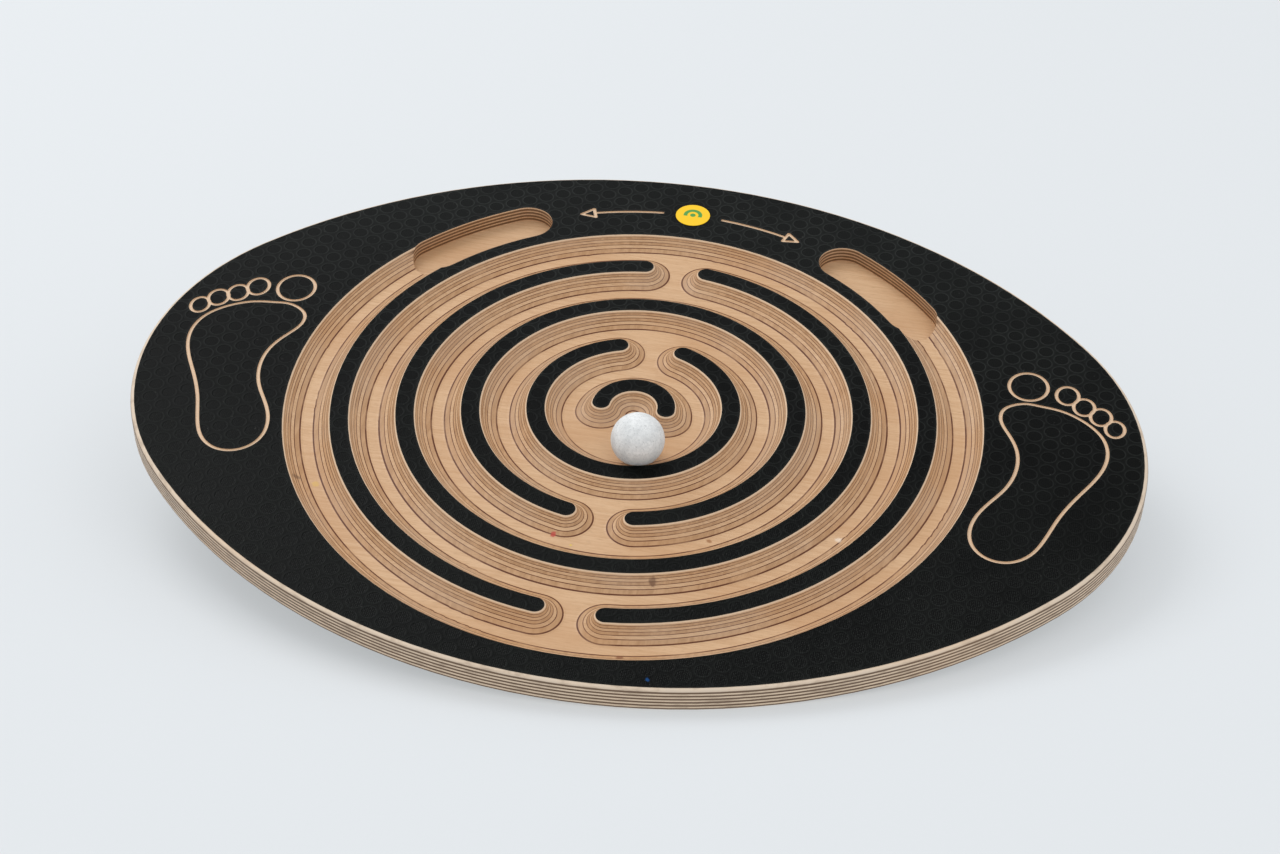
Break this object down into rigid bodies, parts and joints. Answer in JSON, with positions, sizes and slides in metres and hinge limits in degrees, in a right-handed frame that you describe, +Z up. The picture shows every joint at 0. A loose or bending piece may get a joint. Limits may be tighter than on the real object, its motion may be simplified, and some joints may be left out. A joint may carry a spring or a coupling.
{
  "type": "tilt maze game",
  "caption": "Oval plywood balance board with a circular ball maze milled into it, rocking on a half ball in a rubber foot, with one loose ball.",
  "frame": {"origin": "centre of the rubber foot's flat underside, on the floor", "axes": "+X along the board's long axis, +Z up; the board leans about an axis 14 degrees from +X, front rim down"},
  "size_m": [0.7836, 0.5748, 0.1579],
  "materials": {
    "plywood": "lacquered birch plywood",
    "film": "dark anti-slip film",
    "badge": "glossy sticker",
    "rocker_wood": "turned and oiled",
    "screw_steel": "zinc plated",
    "rubber": "matte",
    "ball": "mottled, satin"
  },
  "bodies": {
    "foot": {"rubber_foot": "rubber"},
    "board": {"lower_plies": "plywood", "middle_plies": "plywood", "rim_front_left": "plywood", "rim_front_right": "plywood", "rim_back_left": "plywood", "rim_back_right": "plywood", "maze_wall_0": "plywood", "maze_wall_1": "plywood", "maze_wall_2": "plywood", "maze_wall_3": "plywood", "maze_wall_4_left": "plywood", "maze_wall_4_right": "plywood", "grip_film_outer": "film", "grip_film_0": "film", "grip_film_1": "film", "grip_film_2": "film", "grip_film_3": "film", "back_film": "film", "badge": "badge", "rocker_dome": "rocker_wood", "rocker_screws": "screw_steel"},
    "ball": {"ball": "ball"}
  },
  "joints": [
    {"name": "board_tilt", "type": "hinge", "parent": "foot", "child": "board", "pos_m": [0, 0, 0.06859], "axis": [-0.9703, -0.2419, 0], "range_deg": [0, 27]},
    {"name": "ball_orbit", "type": "hinge", "parent": "board", "child": "ball", "pos_m": [0.00119, -0.00476, 0.08901], "axis": [0.0565, -0.2265, 0.9724], "continuous": true}
  ]
}
